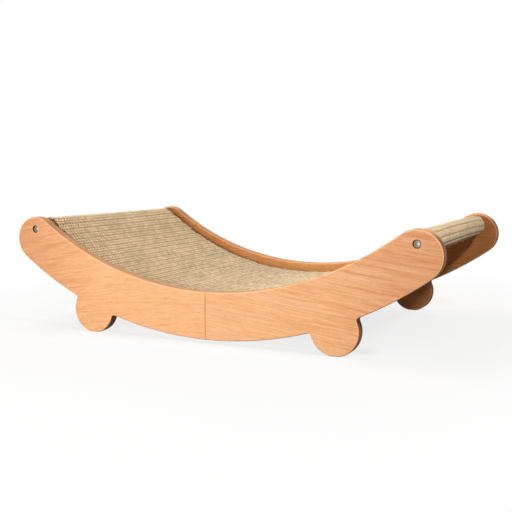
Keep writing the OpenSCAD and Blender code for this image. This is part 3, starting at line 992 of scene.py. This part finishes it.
def mat_sides(rib, groove, distance, side):
    """How far the mat reaches to the front and to the rear, by row along it.

    This is its half width, plus the flare that grows away from the rod, less a notch at each
    groove and less what each end of a rib falls short by. On the rods the notches are deeper, and
    a rib's end may also stand out.
    """
    m = bpy.context.scene.hammock_mat
    wrapped = rib >= m.sling_ribs
    ends = picks_for("rib_ends", side).random((rib.max() + 1, 2))[rib].T
    short = m.ragged * np.where(wrapped, 2 * ends - 1, ends)
    notch = m.scallop * np.where(wrapped, WRAP_NOTCH, 1.0)
    spread = m.flare * np.clip((mat_measures()["sling_length"] - distance) / m.flare_length, 0, 1)
    return MAT_HALF_WIDTH + spread - notch * groove - short * (1 - groove)


def mat_half(name, side, material):
    """Half of the mat: a closed cross-section carried along the mat's path, with looped ribs on top.

    A point of the cross-section lies across the mat by its share of the reach to that side, and
    above the path by its relief. The two cut sides bulge a little, and the underside, which is
    nearly flat, runs back from one to the other. Round the rods the ribs bow on towards the rear.
    """
    m = bpy.context.scene.hammock_mat
    grooves = mat_ribs()
    step = np.arange((len(grooves) - 1) * ROWS_PER_RIB + 1)
    distance = np.interp(step / ROWS_PER_RIB, np.arange(len(grooves)), grooves)
    rib = np.minimum(step // ROWS_PER_RIB, len(grooves) - 2)
    phase = step / ROWS_PER_RIB - rib
    groove = np.abs(2 * phase - 1) ** 3
    top = np.linspace(-1, 1, TOP_COLUMNS)[None]
    loops = picks_for("loops", side)
    relief, strand = mat_loops(rib[:, None], phase[:, None], top * MAT_HALF_WIDTH, loops)

    top[:, [0, -1]] *= TOP_EDGE
    bulge = np.ones((1, 2))
    under = np.linspace(UNDER_EDGE, -UNDER_EDGE, UNDER_COLUMNS)[None]
    share = np.concatenate([top, bulge, under, -bulge], axis=1)
    front, rear = mat_sides(rib, groove, distance, side)
    y = share * np.where(share < 0, front[:, None], rear[:, None])

    rows, columns = y.shape
    over = m.groove + (m.crest - m.groove) * relief
    over[:, [0, -1]] = TOP_EDGE_HEIGHT * m.thickness
    sides = np.broadcast_to(SIDE_HEIGHTS * m.thickness, (rows, 2))
    base = np.full((rows, UNDER_COLUMNS), -m.thickness / 2) + m.under_lift * (2 - groove[:, None])
    height = np.concatenate([over, sides, base, sides[:, ::-1]], axis=1)
    onward = np.clip((distance - mat_measures()["sling_length"]) / m.bow_length + 1, 0, 1)
    rearward = np.clip(y / MAT_HALF_WIDTH - BOW_START, 0, 1) ** BOW_POWER
    points = on_mat(distance[:, None] + m.bow * onward[:, None] * rearward, y, height, side)
    mesh = build_mesh(name, points.reshape(-1, 3), tube_quads(rows, columns), tube_ends(rows, columns))

    wrapped = rib[:, None] >= m.sling_ribs
    # Painted shade: the relief attribute darkens the sisal; on the rods it is lifted, and the sides and
    # underside get fixed values
    relief = np.where(wrapped, WRAP_RELIEF + (1 - WRAP_RELIEF) * relief, relief)
    strand = np.where(wrapped, WRAP_STRAND + (1 - WRAP_STRAND) * strand, strand)
    beside = np.full((rows, columns - TOP_COLUMNS), UNDER_RELIEF)
    beside[:, [0, 1, -2, -1]] = SIDE_RELIEF
    point_values(mesh, "relief", np.concatenate([relief, beside], axis=1))
    point_values(mesh, "strand", np.concatenate([strand, np.full(beside.shape, BESIDE_STRAND)], axis=1))
    corners = np.zeros(len(mesh.loops), np.int32)
    mesh.loops.foreach_get("vertex_index", corners)
    cloth = np.stack(np.broadcast_arrays(distance[:, None], y), axis=-1).reshape(-1, 2)
    mesh.uv_layers.new(name="cloth").data.foreach_set("uv", cloth[corners].astype(np.float32).ravel())

    piece = add_piece(mesh, material)
    end = name.split("_")[0]
    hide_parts(f"{end}_mat_wrap", "sisal_sling")
    bend_with_sling(piece)
    loose = [
        loose_hairs(f"{end}_loose_fibres", side), side_hairs(f"{end}_side_fibres", side),
        fringe(f"{end}_fringe", side),
    ]


def bend_with_sling(piece):
    """Bakes a piece's place into its mesh, which leaves it where it is."""
    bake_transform(piece)


LOOSE_HAIRS = 420
SIDE_HAIRS = 360
FRINGE_HAIRS = 110
HAIR_RELIEF = 0.8  # Relief of all fibres
HAIR_ROOT = 0.0003  # Depth of a stray fibre's root under the loops' tops
HAIR_FALL = 0.8  # How much of its lift a stray fibre loses again
SIDE_ROOTS = (-0.001, 0.001)  # Heights of the side fibres' roots
SIDE_FALL = 0.2  # How far the side fibres' tips fall, as a share of their reach
FRINGE_ROOTS = (-0.0005, 0.0010)  # Heights of the fringe's roots
ALONG_RIBS = np.array([0.0, 1.0, 0.0])


def mat_up(distance, side):
    """The directions square to the mat's upper face at distances along it."""
    _, normal = mat_path(distance)
    return np.stack([side * normal[:, 0], np.zeros(len(distance)), normal[:, 1]], axis=1)


def hair_piece(mesh, picks, count):
    """Puts fibres into the scene with an even relief and a strand number for each."""
    sisal_hair = bpy.data.materials.get("sisal_hair") or sisal("sisal_hair", False)
    point_values(mesh, "relief", np.full(len(mesh.vertices), HAIR_RELIEF))
    point_values(mesh, "strand", np.repeat(picks.random(count), HAIR_RINGS * HAIR_SIDES))
    return add_piece(mesh, sisal_hair)


def loose_hairs(name, side):
    """Stray fibres over the mat, lying near its ribs' direction and arching off the surface."""
    picks = picks_for("loose", side)
    m = bpy.context.scene.hammock_mat
    count = LOOSE_HAIRS
    distance = picks.uniform(0.01, 0.93, count) * mat_measures()["total"]
    across = picks.uniform(-0.95, 0.95, count) * MAT_HALF_WIDTH
    starts = on_mat(distance, across, m.crest - HAIR_ROOT, side)
    up = mat_up(distance, side)
    along = np.sign(picks.uniform(-1, 1, count))[:, None] * ALONG_RIBS
    lean = np.cross(up, along) * picks.uniform(-0.5, 0.5, count)[:, None]
    lift = picks.uniform(0.12, 0.45, count)[:, None]
    reach = picks.uniform(m.hair_shortest, m.hair_longest, count)
    mesh = hairs(name, starts, along + lean + lift * up, -HAIR_FALL * lift * up, reach, m.hair_radius)
    piece = hair_piece(mesh, picks, count)
    bend_with_sling(piece)
    return piece


def side_hairs(name, side):
    """Short fibres out of the mat's two cut sides, which point outwards and a little off straight."""
    picks = picks_for("sides", side)
    m = bpy.context.scene.hammock_mat
    count = SIDE_HAIRS
    distance = picks.uniform(0.0, 0.98, count) * mat_measures()["total"]
    edge = np.where(picks.random(count) < 0.5, -1.0, 1.0)
    height = picks.uniform(*SIDE_ROOTS, count)
    starts = on_mat(distance, edge * (MAT_HALF_WIDTH - m.ragged), height, side)
    up = mat_up(distance, side)
    out = edge[:, None] * ALONG_RIBS
    along = np.cross(up, out)
    ways = out + picks.uniform(-0.6, 0.6, count)[:, None] * along
    ways += picks.uniform(-0.4, 0.7, count)[:, None] * up
    bends = picks.uniform(-0.5, 0.5, count)[:, None] * along - SIDE_FALL * up
    reach = picks.uniform(m.hair_shortest, m.hair_longest, count)
    mesh = hairs(name, starts, ways, bends, reach, m.side_radius)
    piece = hair_piece(mesh, picks, count)
    bend_with_sling(piece)
    return piece


def fringe(name, side):
    """Frayed fibres along the mat's cut end under the rod, which hang down and outwards."""
    picks = picks_for("fringe", side)
    m = bpy.context.scene.hammock_mat
    count = FRINGE_HAIRS
    distance = mat_measures()["total"] - picks.uniform(0.0, m.fringe_band, count)
    across = picks.uniform(-0.98, 0.98, count) * MAT_HALF_WIDTH
    starts = on_mat(distance, across, picks.uniform(*FRINGE_ROOTS, count), side)
    ways = np.stack([
        side * picks.uniform(-0.5, 0.9, count), picks.uniform(-0.5, 0.5, count),
        picks.uniform(-1.0, -0.4, count),
    ], axis=1)
    bends = np.stack([
        picks.uniform(-0.4, 0.4, count), picks.uniform(-0.4, 0.4, count), picks.uniform(-0.3, 0.1, count),
    ], axis=1)
    reach = m.fringe * picks.uniform(0.3, 1.0, count) ** 1.5
    mesh = hairs(name, starts, ways, bends, reach, m.fringe_radius)
    piece = hair_piece(mesh, picks, count)
    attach(piece, "frame")
    return piece


# Stage

LAMPS = {
    "front": dict(place=(-0.22, -1.25, 0.20), target=(-0.02, -0.19, 0.09), size=(0.7, 0.24), mirrored=False),
    "right": dict(place=(0.85, -0.40, 0.80), target=(0.29, 0.0, 0.14), size=(0.11, 0.11), mirrored=True),
    "top": dict(place=(-0.42, 0.0, 1.16), target=(-0.05, 0.0, 0.1), size=(0.6, 0.6), mirrored=True),
    "rear": dict(place=(-0.35, 1.45, 0.45), target=(0.0, 0.19, 0.08), size=(0.9, 0.5), mirrored=False),
    "left": dict(place=(-1.30, 0.35, 0.42), target=(-0.25, 0.05, 0.10), size=(0.6, 0.4), mirrored=False),
}
WHITE = (1.0, 1.0, 1.0, 1.0)
FLOOR_SEEN = (0.9, 0.9, 0.9, 1.0)  # Colour of the floor's own shading
FLOOR_BOUNCE = (0.16, 0.11, 0.07, 1.0)  # Colour of the light that it passes on
FLOOR_SHADING = 0.20  # Share of its own shading near the object
SHADING_FULL = 0.35  # Distance from the middle where the shading starts to fade
SHADING_GONE = 0.75  # Distance where the floor is white


def add_lamp(name, watts, place, target, size, mirrored):
    """A rectangular softbox at a place, aimed at a target, which may be left out of reflections."""
    data = bpy.data.lights.new(name, "AREA")
    data.shape = "RECTANGLE"
    data.size, data.size_y = size
    data.energy = watts
    lamp = bpy.data.objects.new(name, data)
    lamp.visible_glossy = mirrored
    lamp.location = place
    lamp.rotation_euler = (Vector(target) - Vector(place)).to_track_quat("-Z", "Y").to_euler()
    bpy.context.scene.collection.objects.link(lamp)


def seen_directly(nodes):
    """1 for rays of the camera, of reflections and of glass, and 0 for light that is passed on."""
    path = nodes.add("ShaderNodeLightPath").outputs
    seen = nodes.math("MAXIMUM", path["Is Camera Ray"], path["Is Glossy Ray"])
    return nodes.math("MAXIMUM", seen, path["Is Transmission Ray"])


def studio_world(ambient):
    """White where it is seen, and a weaker, warm light from all round on the object."""
    world = bpy.data.worlds.new("studio")
    world.use_nodes = True
    world.node_tree.nodes.clear()
    nodes = Nodes(world.node_tree)
    tone = nodes.mix(seen_directly(nodes), (*ambient, 1.0), WHITE)
    back = nodes.add("ShaderNodeBackground", {"Color": tone, "Strength": 1.0})
    nodes.add("ShaderNodeOutputWorld", {"Surface": back.outputs[0]})
    return world


def floor_material():
    """A pale floor whose own shading fades into white away from the object, where it is seen.

    Light that the floor passes on is weaker and warm.
    """
    material, nodes, shader = new_material("studio_floor")
    material.node_tree.nodes.remove(shader)
    place = nodes.add("ShaderNodeTexCoord").outputs["Object"]
    far = nodes.add("ShaderNodeVectorMath", {0: place}, operation="LENGTH").outputs["Value"]
    shading = nodes.remap(far, SHADING_FULL, SHADING_GONE, FLOOR_SHADING, 0.0)
    pale = nodes.add("ShaderNodeBsdfDiffuse", {"Color": FLOOR_SEEN}).outputs[0]
    dim = nodes.add("ShaderNodeBsdfDiffuse", {"Color": FLOOR_BOUNCE}).outputs[0]
    white = nodes.add("ShaderNodeEmission", {"Color": WHITE, "Strength": 1.0}).outputs[0]
    shown = nodes.add("ShaderNodeMixShader", {0: shading, 1: white, 2: pale}).outputs[0]
    floor = nodes.add("ShaderNodeMixShader", {0: seen_directly(nodes), 1: dim, 2: shown}).outputs[0]
    nodes.put(material.node_tree.nodes["Material Output"].inputs["Surface"], floor)
    return material


# Operators


class HAMMOCK_OT_stage(bpy.types.Operator):
    """Sets up the camera, the softboxes, the pale floor and the white surroundings"""

    bl_idname = "hammock.stage"
    bl_label = "Set the stage"

    def execute(self, context):
        scene = context.scene
        s = scene.hammock_stage
        scene.view_settings.view_transform = "Standard"
        camera = bpy.data.objects.new("camera", bpy.data.cameras.new("camera"))
        scene.collection.objects.link(camera)
        camera.data.lens = s.lens
        camera.location = s.camera_place
        camera.rotation_euler = (math.pi / 2 - s.camera_tilt, 0, s.camera_turn)
        scene.camera = camera
        scene.world = studio_world(s.ambient)
        for name, lamp in LAMPS.items():
            add_lamp(name, getattr(s, f"{name}_power"), **lamp)
        mesh = bpy.data.meshes.new("floor")
        far = s.floor_reach
        corners = [(-far, -far, 0), (far, -far, 0), (far, far, 0), (-far, far, 0)]
        mesh.from_pydata(corners, [], [(0, 1, 2, 3)])
        mesh.materials.append(floor_material())
        floor = bpy.data.objects.new("floor", mesh)
        scene.collection.objects.link(floor)
        return {"FINISHED"}


class HAMMOCK_OT_boards(bpy.types.Operator):
    """Makes the four board halves with eased edges, and their lacquered beech"""

    bl_idname = "hammock.boards"
    bl_label = "Make the boards"

    def execute(self, context):
        for (row, side), look in BOARD_LOOKS.items():
            material = board_wood(f"{row}_{side}_beech", **look)
            board_half(f"{row}_board_{side}", SIDES[side], ROWS[row], material)
        return {"FINISHED"}


class HAMMOCK_OT_bolts(bpy.types.Operator):
    """Makes the four socket-head bolts in the boards' ends"""

    bl_idname = "hammock.bolts"
    bl_label = "Make the bolts"

    def execute(self, context):
        material = socket_steel()
        for side, sign in SIDES.items():
            for row, way in ROWS.items():
                bolt(f"{side}_{row}_bolt", sign, way, material)
        return {"FINISHED"}


class HAMMOCK_OT_mat(bpy.types.Operator):
    """Makes the two halves of the ribbed sisal mat, wrapped on the rods, with their loose fibres"""

    bl_idname = "hammock.mat"
    bl_label = "Make the mat"

    def execute(self, context):
        material = sisal("woven_sisal", True)
        for side, sign in SIDES.items():
            mat_half(f"{side}_mat", sign, material)
        return {"FINISHED"}


class HAMMOCK_OT_fittings(bpy.types.Operator):
    """Gives the inserts, plates, screws and staples their metals, and the rods and dowels their wood"""

    bl_idname = "hammock.fittings"
    bl_label = "Finish the fittings"

    def execute(self, context):
        f = context.scene.hammock_fittings
        finishes = {
            "zinc_steel": metal("zinc_steel", f.zinc_light, f.zinc_dark, f.zinc_dull)[0],
            "insert_brass": metal("insert_brass", f.brass_light, f.brass_dark, f.brass_dull)[0],
            "rod_wood": turned_wood(),
        }
        for part in frame["record"]["subparts"]:
            material = finishes.get(part["material_slot"])
            if material:
                node = frame["nodes"][part["node"]]
                node.data.materials.clear()
                node.data.materials.append(material)
        return {"FINISHED"}


OPERATORS = (HAMMOCK_OT_stage, HAMMOCK_OT_boards, HAMMOCK_OT_bolts, HAMMOCK_OT_mat, HAMMOCK_OT_fittings)
SETTINGS = {
    "hammock_boards": BoardSettings, "hammock_bolts": BoltSettings, "hammock_mat": MatSettings,
    "hammock_fittings": FittingSettings, "hammock_stage": StageSettings,
}


class HAMMOCK_PT_sidebar(bpy.types.Panel):
    """Lists the hammock's steps and settings"""

    bl_idname = "HAMMOCK_PT_sidebar"
    bl_label = "Hammock"
    bl_space_type = "VIEW_3D"
    bl_region_type = "UI"
    bl_category = "Hammock"

    def draw(self, context):
        for operator in OPERATORS:
            self.layout.operator(operator.bl_idname)
        for name in SETTINGS:
            box = self.layout.box()
            settings = getattr(context.scene, name)
            for value in settings.__annotations__:
                box.prop(settings, value)


CLASSES = (*SETTINGS.values(), *OPERATORS, HAMMOCK_PT_sidebar)


def register():
    for item in CLASSES:
        bpy.utils.register_class(item)
    for name, group in SETTINGS.items():
        setattr(bpy.types.Scene, name, PointerProperty(type=group))


def unregister():
    for name in SETTINGS:
        delattr(bpy.types.Scene, name)
    for item in reversed(CLASSES):
        bpy.utils.unregister_class(item)


def main():
    register()
    bpy.ops.hammock.stage()
    bpy.ops.hammock.boards()
    bpy.ops.hammock.bolts()
    bpy.ops.hammock.mat()
    bpy.ops.hammock.fittings()


if __name__ == "__main__":
    main()
